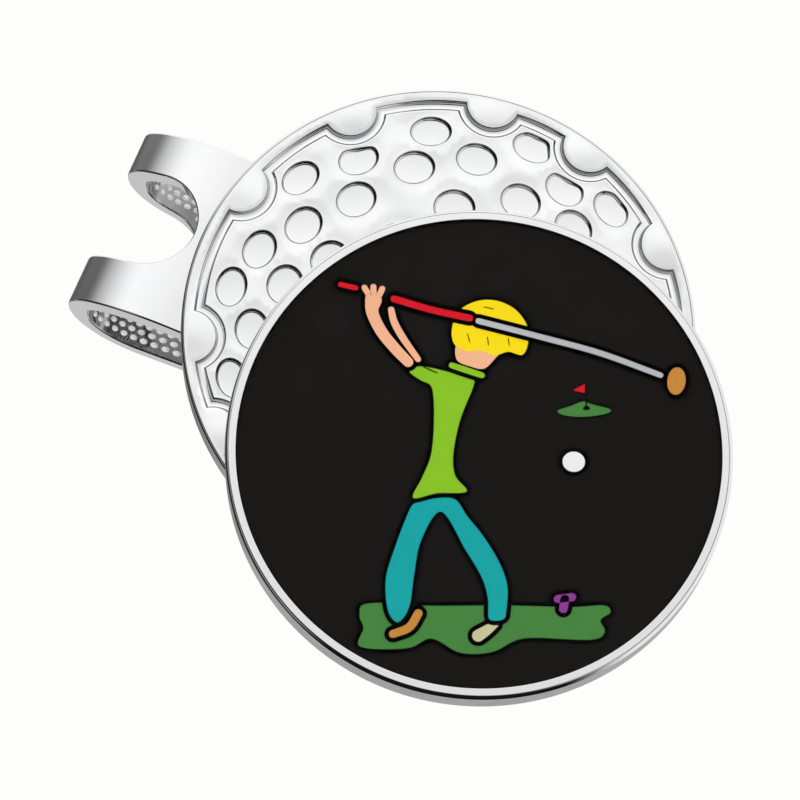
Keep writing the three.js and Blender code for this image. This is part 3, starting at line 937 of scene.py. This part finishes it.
def strip_outline(strip, columns, inset):
    """The strip laid flat, (length, across), with round corners, moved inwards by inset."""
    radius = CORNER_RADIUS - inset
    half = STRIP_WIDTH / 2 - inset
    low, high = inset, strip.end - inset
    middle = columns[(columns > CORNER_RADIUS + 0.1) & (columns < strip.end - CORNER_RADIUS - 0.1)]
    corner = np.linspace(0, 90, 9)
    points = [
        (low + radius, -half + radius) + polar(radius, 180 + corner),
        np.column_stack([middle, np.full(len(middle), -half)]),
        (high - radius, -half + radius) + polar(radius, 270 + corner),
        (high - radius, half - radius) + polar(radius, corner),
        np.column_stack([middle[::-1], np.full(len(middle), half)]),
        (low + radius, half - radius) + polar(radius, 90 + corner),
    ]
    return np.vstack(points)


def slot_outline(strip, columns, inset):
    """The slot of the fork in the strip laid flat. It is round at both ends as seen from the front."""
    radius = SLOT_RADIUS + inset
    arc = polar(radius, np.linspace(90, 270, 33))
    leg = strip.length_on_leg(SLOT_CENTRE + arc[:, 0])
    tongue = strip.length_on_tongue(SLOT_CENTRE + arc[:, 0])
    middle = columns[(columns > leg.max() + 0.08) & (columns < tongue.min() - 0.08)]
    return np.vstack([
        np.column_stack([leg, arc[:, 1]]),
        np.column_stack([middle, np.full(len(middle), -radius)]),
        np.column_stack([tongue[::-1], arc[::-1, 1]]),
        np.column_stack([middle[::-1], np.full(len(middle), radius)]),
    ]) + (0, SLOT_OFFSET)


def slot_gap(strip, u, v):
    """How far points of the strip laid flat are from the slot."""
    beyond = np.minimum(strip.at(u)[0][:, 0] - SLOT_CENTRE, 0)
    return np.hypot(beyond, v - SLOT_OFFSET) - SLOT_RADIUS


def inner_shade(strip, u):
    """Painted shade on the inner side, standing in for the shade inside the loop: darker on the tongue,
    between the raised dots, than on the leg.
    """
    apex = strip.length[strip.apex]
    return np.interp(u, [apex - INNER_SHADE_REACH[0], apex + INNER_SHADE_REACH[1]], INNER_SHADES)


def build_strip(metal):
    strip = Strip()
    shell = Shell()
    columns = strip.columns()
    inner_loops, outer_loops, flats = [], [], {}
    for outline_at in (strip_outline, slot_outline):
        edge = outline_at(strip, columns, 0.0)
        away = unit(edge - outline_at(strip, columns, STRIP_EDGE))
        turns = [90 * k / EDGE_STEPS for k in range(EDGE_STEPS + 1)]
        rows = [(angle, 1) for angle in turns] + [(angle, -1) for angle in reversed(turns)]
        loops = []
        for angle, side in rows:
            cos, sin = math.cos(math.radians(angle)), math.sin(math.radians(angle))
            flat = outline_at(strip, columns, STRIP_EDGE * (1 - sin))
            height = side * (strip.thickness(flat[:, 0]) / 2 - STRIP_EDGE * (1 - cos))
            lean = raised(away * sin, side * cos)
            points, normals = strip.put(*flat.T, height, *lean.T)
            shade = 0.0
            if side > 0 and angle < EDGE_SHADED:
                shade = inner_shade(strip, flat[:, 0]) * (1.0 if angle == 0 else 0.5)
            loop = shell.loop(points, normals, shade)
            flats.update(zip(loop, flat))
            if loops:
                shell.bridge(loops[-1], loop)
            loops.append(loop)
        inner_loops.append(loops[0])
        outer_loops.append(loops[-1])

    rows = np.linspace(-STRIP_WIDTH / 2, STRIP_WIDTH / 2, GRID_ROWS + 2)[1:-1]
    grid = np.array([(u, v) for u in columns for v in rows])
    margin = STRIP_EDGE + GRID_ROOM
    edge = strip_outline(strip, columns, margin)
    keep = inside(grid, edge, closed_edges(len(edge)))
    keep &= slot_gap(strip, *grid.T) > margin
    grid = grid[keep]
    for side, boundaries in ((1, inner_loops), (-1, outer_loops)):
        height = side * strip.thickness(grid[:, 0]) / 2
        lean = raised(np.zeros_like(grid), float(side))
        points, normals = strip.put(*grid.T, height, *lean.T)
        extra = shell.loop(points, normals, inner_shade(strip, grid[:, 0]) if side > 0 else 0.0)
        flats.update(zip(extra, grid))
        shell.fill(boundaries, extra, flats)
    return strip, shell.build("spring_clip", metal)


def build_grip(strip, metal):
    """Rows of oval dots on the inner side of the tongue, each a small closed dome."""
    shell = Shell()
    start, stop = strip.length[strip.apex] + GRIP_START, strip.length_on_tongue(GRIP_STOP)
    around = circle(GRIP_SIDES)
    count_u = int((stop - start) / GRIP_PITCH[0])
    count_v = 1 + int((STRIP_WIDTH - 2 * GRIP_MARGIN) / GRIP_PITCH[1])
    for i in range(count_u):
        for j in range(count_v):
            u = start + (i + 0.5) * GRIP_PITCH[0] + (GRIP_PITCH[0] / 2 if j % 2 else 0)
            v = (j - (count_v - 1) / 2) * GRIP_PITCH[1]
            spot = np.array([[u, v]])
            if slot_gap(strip, *spot.T)[0] < GRIP_MARGIN:
                continue
            previous = None
            for share, height in GRIP_RINGS:
                flat = spot + around * GRIP_SIZE * share
                base = strip.thickness(flat[:, 0]) / 2
                lean = raised(around * math.sqrt(share * share - 0.02) * 0.75, 0.7)
                loop = shell.loop(*strip.put(*flat.T, base + height, *lean.T))
                if previous:
                    shell.bridge(previous, loop)
                else:
                    shell.faces.append(tuple(reversed(loop)))
                previous = loop
            top = strip.thickness(spot[:, 0]) / 2 + GRIP_HEIGHT
            tip, normal = strip.put(*spot.T, top, *np.array([[0.0, 0.0, 1.0]]).T)
            shell.fan(previous, tip[0], normal[0])
    return shell.build("grip_dots", metal)


# ---------------------------------------------------------------------------------------------- the coin

COIN_SEGMENTS = 320
COIN_EDGE = 0.22
COIN_BACK_EDGE = 0.15
COIN_ARC_STEPS = 8
# Painted shade on the coin's side wall, and a painted dark line near where its front edge ends, in place of
# dark reflections
COIN_WALL_SHADE = 0.5
COIN_LINE_SHADE = 0.7
RECESS_RADIUS = 12.15
RECESS_BELOW = 0.03  # how far the recess reaches behind the print
FILM_DROP = 0.04  # room that the ink takes under the resin


def build_coin(metal):
    shell = Shell()
    back, front = lying_z(COIN_HIGH.y), lying_z(COIN_LOW.y)
    floor = lying_z(PRINT_HIGH.y) - RECESS_BELOW
    profile = rounded_profile([
        (0, back, 0),
        (COIN_RADIUS, back, COIN_BACK_EDGE),
        (COIN_RADIUS, front, COIN_EDGE),
        (RECESS_RADIUS, front, 0.035),
        (RECESS_RADIUS, floor, 0.05),
        (0, floor, 0),
    ], COIN_ARC_STEPS)
    shades = side_shades(COIN_ARC_STEPS, COIN_WALL_SHADE, COIN_LINE_SHADE)
    revolve(shell, profile, COIN_SEGMENTS, COIN_CENTRE, shades)
    return shell.build("marker_body", metal)


def build_round(name, radius, low, high, edge, crown, finish):
    """A thin round layer in the coin, with a softened edge and a front face that rises by crown."""
    shell = Shell()
    profile = rounded_profile([
        (0, low, 0),
        (radius, low, edge / 2),
        (radius, high - crown, edge),
        (0, high, 0),
    ])
    revolve(shell, profile, COIN_SEGMENTS, COIN_CENTRE)
    return shell.build(name, finish)


# ------------------------------------------------------------------------------------- the printed scene
# All in millimetres from the coin's centre, x to the right and y up.

LAYER = 0.0035  # from one level of ink to the next
INK_THICKNESS = 0.7 * LAYER
FIRST_LEVEL = 0.002  # over the black film
INK_LINE = 0.23  # width of the black contours
CURVE_STEPS = 8


def spline(points):
    """A smooth line through all the points but the first and the last two, which only steer it."""
    line = []
    for a, b, c, d in zip(points, points[1:], points[2:], points[3:]):
        for t in np.arange(CURVE_STEPS) / CURVE_STEPS:
            line.append(0.5 * (2 * b + (c - a) * t + (2 * a - 5 * b + 4 * c - d) * t**2
                               + (3 * b - a - 3 * c + d) * t**3))
    return np.array(line)


def curve(points):
    """A smooth closed line through the points."""
    return spline(np.array([points[-1], *points, *points[:2]], float))


def open_curve(points):
    """A smooth open line through the points, whose columns after the first two are carried along."""
    points = np.array(points, float)
    points = np.vstack([2 * points[0] - points[1], points, 2 * points[-1] - points[-2]])
    return np.vstack([spline(points), points[-2]])


def stroke(points):
    """Outline of a brush line through (x, y, width) points, with round ends."""
    line = open_curve(points)
    centre, half = line[:, :2], line[:, 2:] / 2
    ways = unit(np.gradient(centre, axis=0))
    left = np.column_stack([-ways[:, 1], ways[:, 0]])
    fan = np.radians(np.linspace(0, 180, 11))[1:-1, None]
    end = centre[-1] + half[-1] * (left[-1] * np.cos(fan) + ways[-1] * np.sin(fan))
    start = centre[0] + half[0] * (-left[0] * np.cos(fan) - ways[0] * np.sin(fan))
    return np.vstack([centre + left * half, end, (centre - left * half)[::-1], start])[::-1]


def oval(x, y, width, height, degrees=0.0):
    return rotated(circle(40) * (width / 2, height / 2), degrees) + (x, y)


def grown(outline, by):
    """An outline moved outwards."""
    area = np.sum(outline[:, 0] * np.roll(outline[:, 1], -1) - outline[:, 1] * np.roll(outline[:, 0], -1))
    along = unit(np.roll(outline, -1, 0) - np.roll(outline, 1, 0))
    outwards = np.column_stack([along[:, 1], -along[:, 0]]) * np.sign(area)
    return outline + outwards * by


def build_ink(name, outlines, level, finish):
    """Flat ink shapes as thin slabs on one level of the print."""
    shell = Shell()
    base = lying_z(PRINT_LOW.y) - FILM_DROP + FIRST_LEVEL + LAYER * level
    for outline in outlines:
        flat = raised(outline + COIN_CENTRE, base)
        up = np.tile((0.0, 0.0, 1.0), (len(flat), 1))
        low = shell.loop(flat, -up)
        high = shell.loop(flat + (0, 0, INK_THICKNESS), up)
        shell.bridge(low, high)
        shell.fill([high])
        shell.fill([low], facing=-1)
    return shell.build(name, finish, smooth=False)


GRASS = curve([
    (-5.5, -7.85), (-2.5, -7.95), (1.0, -7.9), (4.5, -7.95), (6.1, -7.85), (6.45, -8.2), (5.95, -8.6),
    (6.15, -9.2), (5.4, -9.6), (2.2, -9.55), (0.6, -10.25), (-1.0, -10.3), (-2.4, -9.6), (-3.6, -10.1),
    (-5.9, -10.05), (-5.75, -9.1), (-5.95, -8.45),
])
TEE = [stroke([(3.85, -7.55, 0.4), (4.55, -7.45, 0.42)]), stroke([(4.2, -7.55, 0.44), (4.12, -8.05, 0.42)])]
GREEN = curve([
    (3.95, 2.15), (4.6, 2.4), (5.25, 2.65), (5.7, 2.5), (6.6, 2.25), (6.35, 2.02), (5.3, 1.85), (4.3, 1.92),
])
POLE = stroke([(5.4, 2.35, 0.09), (5.36, 3.5, 0.08)])
CUP = oval(5.4, 2.3, 0.36, 0.22)
FLAG = np.array([(5.34, 3.58), (4.72, 3.22), (5.33, 3.1)])
BALL = oval(4.73, -0.5, 1.12, 1.05)
SHOE_LEFT = stroke([(-4.3, -9.4, 0.4), (-3.5, -9.05, 0.42), (-3.05, -8.35, 0.42)])
SHOE_RIGHT = stroke([(-0.1, -9.45, 0.6), (0.35, -9.15, 0.5), (0.72, -8.87, 0.36)])
TROUSERS = curve([
    (-3.25, -2.75), (-2.4, -2.5), (-1.25, -2.5), (-0.6, -3.4), (0.15, -4.35), (0.95, -5.7), (1.35, -6.9),
    (1.3, -8.1), (1.15, -8.6), (0.45, -8.6), (0.4, -7.6), (0.1, -6.5), (-0.7, -5.1), (-1.9, -3.15),
    (-2.9, -4.6), (-3.25, -6.3), (-3.5, -8.0), (-4.05, -8.8), (-4.55, -8.2), (-4.65, -6.6), (-4.2, -5.0),
    (-3.65, -3.5),
])
SHIRT = curve([
    (-3.3, 4.35), (-3.45, 4.05), (-2.9, 3.65), (-2.35, 3.25), (-2.25, 1.6), (-2.4, -0.2), (-2.85, -1.4),
    (-3.3, -2.45), (-2.1, -2.2), (-0.65, -2.1), (-1.2, -1.3), (-1.3, -0.2), (-0.95, 1.6), (-0.3, 3.3),
    (-0.35, 3.75), (-1.5, 4.1), (-2.6, 4.35),
])
SLEEVE = stroke([(-2.75, 4.35, 0.07), (-2.1, 4.05, 0.07)])
NECK = curve([(-1.05, 5.6), (-1.1, 4.75), (-0.4, 4.4), (0.25, 4.3), (0.75, 4.75), (1.05, 5.3), (0.0, 5.7)])
COLLAR = stroke([(-1.35, 4.45, 0.3), (-0.6, 4.2, 0.32), (0.15, 3.95, 0.3)])
HAIR = curve([
    (-1.35, 6.3), (-1.0, 7.3), (-0.1, 7.85), (0.9, 7.9), (1.85, 7.45), (2.45, 6.6), (2.5, 5.7), (2.2, 5.05),
    (1.5, 5.2), (0.8, 5.0), (0.1, 5.25), (-0.6, 5.2), (-1.2, 5.55),
])
STRANDS = [
    stroke([(-0.55, 6.1, 0.05), (-0.45, 5.7, 0.05)]),
    stroke([(0.45, 5.95, 0.05), (0.5, 5.55, 0.05)]),
    stroke([(1.5, 5.9, 0.05), (1.55, 5.55, 0.05)]),
    stroke([(0.3, 7.55, 0.05), (0.75, 7.45, 0.05)]),
]
ARM_NEAR = stroke([
    (-5.3, 7.85, 0.85), (-5.35, 7.2, 0.62), (-4.9, 6.2, 0.58), (-4.2, 5.3, 0.56), (-3.55, 4.6, 0.52),
])
ARM_FAR = stroke([(-4.4, 7.35, 0.32), (-4.25, 6.7, 0.36), (-3.8, 5.85, 0.36), (-3.05, 4.75, 0.3)])
FINGERS = [
    stroke([(-5.55, 8.15, 0.3), (-5.75, 8.5, 0.3)]),
    stroke([(-5.3, 8.2, 0.32), (-5.3, 8.55, 0.3)]),
    stroke([(-4.98, 8.15, 0.3), (-4.85, 8.45, 0.3)]),
]
GRIP = [stroke([(-6.95, 8.65, 0.27), (-6.2, 8.48, 0.27)]),
        stroke([(-4.25, 7.92, 0.36), (-2.3, 7.35, 0.36), (-0.45, 6.95, 0.36)])]
SHAFT = stroke([(0.0, 6.8, 0.3), (3.3, 5.95, 0.3), (6.2, 5.15, 0.3), (9.15, 4.05, 0.28)])
CLUB_HEAD = oval(9.95, 3.75, 0.92, 1.45, -8)


def print_scene(colours):
    """The golfer, seen from behind, on the green. A group is a black contour with colours on top of it."""
    groups = [
        ("grass", [(GRASS, "grass")]),
        ("tee", [(shape, "purple") for shape in TEE]),
        ("green", [(GREEN, "grass"), (CUP, "line"), (POLE, "line"), (FLAG, "red")]),
        ("ball", [(BALL, "white")]),
        ("shoes", [(SHOE_LEFT, "tan"), (SHOE_RIGHT, "beige")]),
        ("trousers", [(TROUSERS, "teal")]),
        ("shirt", [(SHIRT, "lime"), (SLEEVE, "line")]),
        ("head", [(NECK, "skin"), (HAIR, "yellow"), (COLLAR, "lime")] + [(s, "line") for s in STRANDS]),
        ("arms", [(ARM_FAR, "skin"), (ARM_NEAR, "skin")]),
        ("club", [(s, "red") for s in GRIP] + [(SHAFT, "silver"), (CLUB_HEAD, "tan")]),
        ("hands", [(s, "skin") for s in FINGERS]),
    ]
    made = []
    level = 0
    for name, shapes in groups:
        contour = [grown(shape, INK_LINE * (0.5 if name == "green" else 1.0))
                   for shape, colour in shapes if colour != "line"]
        if name != "hands":
            made.append(build_ink(f"ink_{name}_contour", contour, level, colours["line"]))
            level += 1
        for colour in dict.fromkeys(colour for _, colour in shapes):
            same = [shape for shape, used in shapes if used == colour]
            made.append(build_ink(f"ink_{name}_{colour}", same, level, colours[colour]))
            level += 1
    return made


# -------------------------------------------------------------------------------------- build everything


FILM_OVERLAP = 0.03  # how far the film reaches past the CAD print's edge
RESIN_OVERLAP = 0.035  # and the resin


def build_metal_parts():
    plate = build_plate(chrome("polished_zinc", 0.92, 0.035))
    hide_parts("clip_disc")
    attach(plate, "hat_clip")

    steel = chrome("polished_spring_steel", 0.9, 0.05)
    strip, spring = build_strip(steel)
    # the grip dots' near-white colour is a painted highlight
    dots = build_grip(strip, painted_highlight_dots("grip_dot_painted_highlight"))
    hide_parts("spring_clip_leg", "spring_clip_tongue")
    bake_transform(spring)
    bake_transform(dots)

    coin = build_coin(chrome("polished_coin_steel", 0.91, 0.035))
    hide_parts("marker_coin")
    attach(coin, "ball_marker")


def build_print():
    low, high = lying_z(PRINT_HIGH.y), lying_z(PRINT_LOW.y) - FILM_DROP
    black = ink("black_film", linear(24, 22, 21))
    film = build_round("print_film", PRINT_RADIUS + FILM_OVERLAP, low, high, 0.02, 0.0, black)
    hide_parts("print_insert")
    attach(film, "ball_marker")
    colours = {
        "line": ink("ink_black", linear(3, 3, 3)),
        "grass": ink("ink_green", linear(74, 134, 66)),
        "purple": ink("ink_purple", linear(142, 62, 150)),
        "red": ink("ink_red", linear(214, 30, 42)),
        "white": ink("ink_white", linear(240, 240, 240), 0.04),
        "tan": ink("ink_tan", linear(201, 140, 62)),
        "beige": ink("ink_beige", linear(205, 200, 160)),
        "teal": ink("ink_teal", linear(26, 166, 168)),
        "lime": ink("ink_lime", linear(139, 196, 42)),
        "skin": ink("ink_skin", linear(244, 184, 148)),
        "yellow": ink("ink_yellow", linear(248, 222, 30)),
        "silver": ink("ink_silver", linear(186, 188, 192)),
    }
    for layer in print_scene(colours):
        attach(layer, "ball_marker")

    resin = build_round(
        "resin_coat", PRINT_RADIUS + RESIN_OVERLAP, lying_z(RESIN_HIGH.y), lying_z(RESIN_LOW.y), 0.05, 0.02,
        clear_resin("clear_epoxy_coat"),
    )
    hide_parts("clear_resin")
    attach(resin, "ball_marker")


def finish_cad_parts():
    """Materials for the CAD pieces that stay."""
    finishes = {
        "magnet": satin_metal("nickel_magnet", 0.62, 0.34),
        "magnet_adhesive": cured_glue("magnet_epoxy"),
        "clip_rivet_outer": satin_metal("rivet_outer_steel", 0.66, 0.28),
        "clip_rivet_inner": satin_metal("rivet_inner_steel", 0.66, 0.28),
    }
    for name, finish in finishes.items():
        slots = frame["nodes"][name].data.materials
        slots.clear()
        slots.append(finish)


# ---------------------------------------------------------------------------------------------- studio


BACKDROP = (0.985, 0.985, 0.978, 1.0)
SOFT_LIGHT = 1.1
LAMP_PLACE = (-0.2, -0.32, 0.34)
LAMP_SIZE = 0.35
LAMP_POWER = 0.35


def product(tree, value, *others):
    for other in others:
        value = calculate(tree, "MULTIPLY", value, other)
    return value


def studio():
    """A white cove. Mirrors see a lit front above, black cards to the left and below, and grey behind.

    light is what a mirror sees in each direction. Each mix lays one more thing over the light before it.
    """
    world = bpy.data.worlds.new("studio")
    bpy.context.scene.world = world
    world.use_nodes = True
    tree = world.node_tree
    direction = node(tree, "ShaderNodeTexCoord").outputs["Generated"]
    parts = node(tree, "ShaderNodeSeparateXYZ", Vector=direction)
    x, y, z = parts.outputs[0], parts.outputs[1], parts.outputs[2]
    front, left, down = (product(tree, side, -1.0) for side in (y, x, z))

    # Behind: grey, and dark at the upper left
    light = smooth(tree, z, -0.5, 0.4, 0.62, 0.5)
    behind_left = product(tree, smooth(tree, left, -0.05, 0.2), smooth(tree, z, 0.1, 0.3))
    light = mix_number(tree, behind_left, light, 0.12)

    # In front: brighter upwards, and black low down except at both sides
    lean = calculate(tree, "MULTIPLY_ADD", x, 0.8, z)
    sky = smooth(tree, z, 0.08, 0.5, 0.72, 1.08)
    aside = smooth(tree, calculate(tree, "ABSOLUTE", x), 0.54, 0.64)
    low_front = mix_number(tree, aside, smooth(tree, lean, -0.22, -0.04, 0.014, 1.0), 1.0)
    light = mix_number(tree, smooth(tree, front, 0.05, 0.45), light, product(tree, sky, low_front))

    # White above, black below except far behind, and pale on the right
    light = mix_number(tree, smooth(tree, z, 0.55, 0.8), light, 1.03)
    down_reach = product(tree, smooth(tree, down, 0.42, 0.62), smooth(tree, y, 0.85, 0.72))
    light = mix_number(tree, down_reach, light, 0.008)
    light = mix_number(tree, smooth(tree, x, 0.45, 0.75), light, 0.9)

    # A black card on the left, with a grey gleam low behind it
    card = smooth(tree, z, 0.25, 0.6, 0.012, 0.1)
    card_reach = product(tree, smooth(tree, left, 0.4, 0.92), smooth(tree, z, 0.98, 0.8))
    light = mix_number(tree, card_reach, light, card)
    gleam = product(tree, smooth(tree, y, 0.24, 0.34), smooth(tree, y, 0.56, 0.46),
                    smooth(tree, left, 0.7, 0.85), smooth(tree, z, 0.42, 0.34))
    light = mix_number(tree, gleam, light, 0.3)

    path = node(tree, "ShaderNodeLightPath")
    mirrored = node(tree, "ShaderNodeCombineColor", Red=light, Green=light, Blue=light).outputs[0]
    seen = mix(tree, path.outputs["Is Glossy Ray"], grey(SOFT_LIGHT), mirrored)
    seen = mix(tree, path.outputs["Is Camera Ray"], seen, BACKDROP)
    join(tree, tree.nodes["Background"].inputs["Color"], seen)

    lamp = bpy.data.lights.new("softbox", "AREA")
    lamp.size = LAMP_SIZE
    lamp.energy = LAMP_POWER
    lamp_object = add_object("softbox", lamp)
    lamp_object.location = LAMP_PLACE
    lamp_object.rotation_euler = (-lamp_object.location).to_track_quat("-Z", "Y").to_euler()
    lamp_object.visible_glossy = False


FLOOR_DEPTH = 0.1
FLOOR_REACH = 3.0


def floor():
    mesh = bpy.data.meshes.new("floor")
    sides = [(-1, -1), (1, -1), (1, 1), (-1, 1)]
    corners = [(FLOOR_REACH * x, FLOOR_REACH * y, -FLOOR_DEPTH) for x, y in sides]
    mesh.from_pydata(corners, [], [(0, 1, 2, 3)])
    finish, tree, surface = material("pale_floor")
    wire(tree, surface, Base_Color=(0.9, 0.9, 0.89, 1.0), Roughness=0.8)
    mesh.materials.append(finish)
    made = add_object("floor", mesh)
    made.visible_glossy = False


# The camera stands in front, a little to the left and well below, and looks up.
CAMERA_AZIMUTH = -2.16
CAMERA_ELEVATION = -16.53
CAMERA_DISTANCE = 0.2018
CAMERA_LENS = 179.8
CAMERA_SENSOR = 36
CAMERA_NEAR = 0.01
AIM = Vector((-1.974, RIM_Y, -3.701)) * MM


def camera():
    data = bpy.data.cameras.new("camera")
    data.lens = CAMERA_LENS
    data.sensor_width = CAMERA_SENSOR
    data.clip_start = CAMERA_NEAR
    made = add_object("camera", data)
    azimuth, elevation = math.radians(CAMERA_AZIMUTH), math.radians(CAMERA_ELEVATION)
    back = Vector((
        math.sin(azimuth) * math.cos(elevation),
        -math.cos(azimuth) * math.cos(elevation),
        math.sin(elevation),
    ))
    made.location = AIM + back * CAMERA_DISTANCE
    made.rotation_mode = "QUATERNION"
    made.rotation_quaternion = (-back).to_track_quat("-Z", "Y")
    bpy.context.scene.camera = made


bpy.context.scene.view_settings.view_transform = "Standard"
build_metal_parts()
build_print()
finish_cad_parts()
studio()
floor()
camera()
